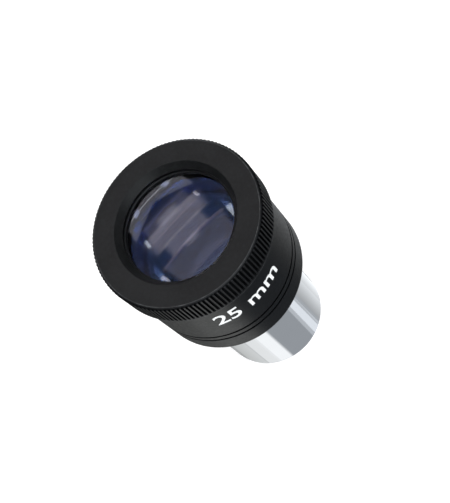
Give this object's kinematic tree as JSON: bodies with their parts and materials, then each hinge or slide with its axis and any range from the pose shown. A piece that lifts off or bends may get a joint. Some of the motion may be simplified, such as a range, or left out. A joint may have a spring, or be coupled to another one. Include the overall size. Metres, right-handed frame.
{
  "type": "eyepiece",
  "caption": "Wide-field eyepiece with a chrome push-fit sleeve, a black housing and a knurled focusing ring around a coated eye lens.",
  "frame": {"origin": "on the optical axis, in the plane of the housing's shoulder where the sleeve leaves it; this is also the centre of the bounding box", "axes": "+Z along the optical axis, from the sleeve towards the eye; +Y towards the side with the lock screws; the marking faces -Y"},
  "size_m": [0.0338, 0.0338, 0.0544],
  "materials": {
    "anodised_black": "black anodised, satin",
    "ring_black": "black anodised, satin, knurled rim",
    "chrome": "polished",
    "baffle_black": "dead matt black paint",
    "screw_steel": "blackened",
    "coated_glass": "polished, violet-blue anti-reflection coating",
    "brass": "turned",
    "blackened_brass": "blackened",
    "washer_ptfe": "smooth",
    "o_ring_rubber": "matt"
  },
  "bodies": {
    "eyepiece_body": {"housing": "anodised_black", "mounting_sleeve": "chrome", "field_stop_ring": "baffle_black", "field_stop_retainer": "baffle_black", "guide_screw": "screw_steel", "sleeve_lock_screw": "screw_steel"},
    "lens_cell": {"lens_cell_barrel": "anodised_black", "eye_lens_retainer": "anodised_black", "eye_lens": "coated_glass", "upper_spacer": "baffle_black", "doublet_crown": "coated_glass", "doublet_flint": "coated_glass", "lower_spacer": "baffle_black", "field_lens": "coated_glass", "cell_end_ring": "baffle_black"},
    "focus_ring": {"knurled_cap": "ring_black", "helicoid_collar": "brass", "ring_lock_screw": "screw_steel", "friction_o_ring": "o_ring_rubber", "thrust_washer": "washer_ptfe", "thrust_ring": "blackened_brass"}
  },
  "joints": [
    {"name": "cell_lift", "type": "slide", "parent": "eyepiece_body", "child": "lens_cell", "axis": [0, 0, 1], "range_m": [0, 0.0025]},
    {"name": "cap_turn", "type": "hinge", "parent": "lens_cell", "child": "focus_ring", "pos_m": [0, 0, 0], "axis": [0, 0, 1], "range_deg": [0, 300]}
  ],
  "couplings": [
    {"joint": "cell_lift", "follows": "cap_turn", "m_per_rad": 0.00047746}
  ]
}
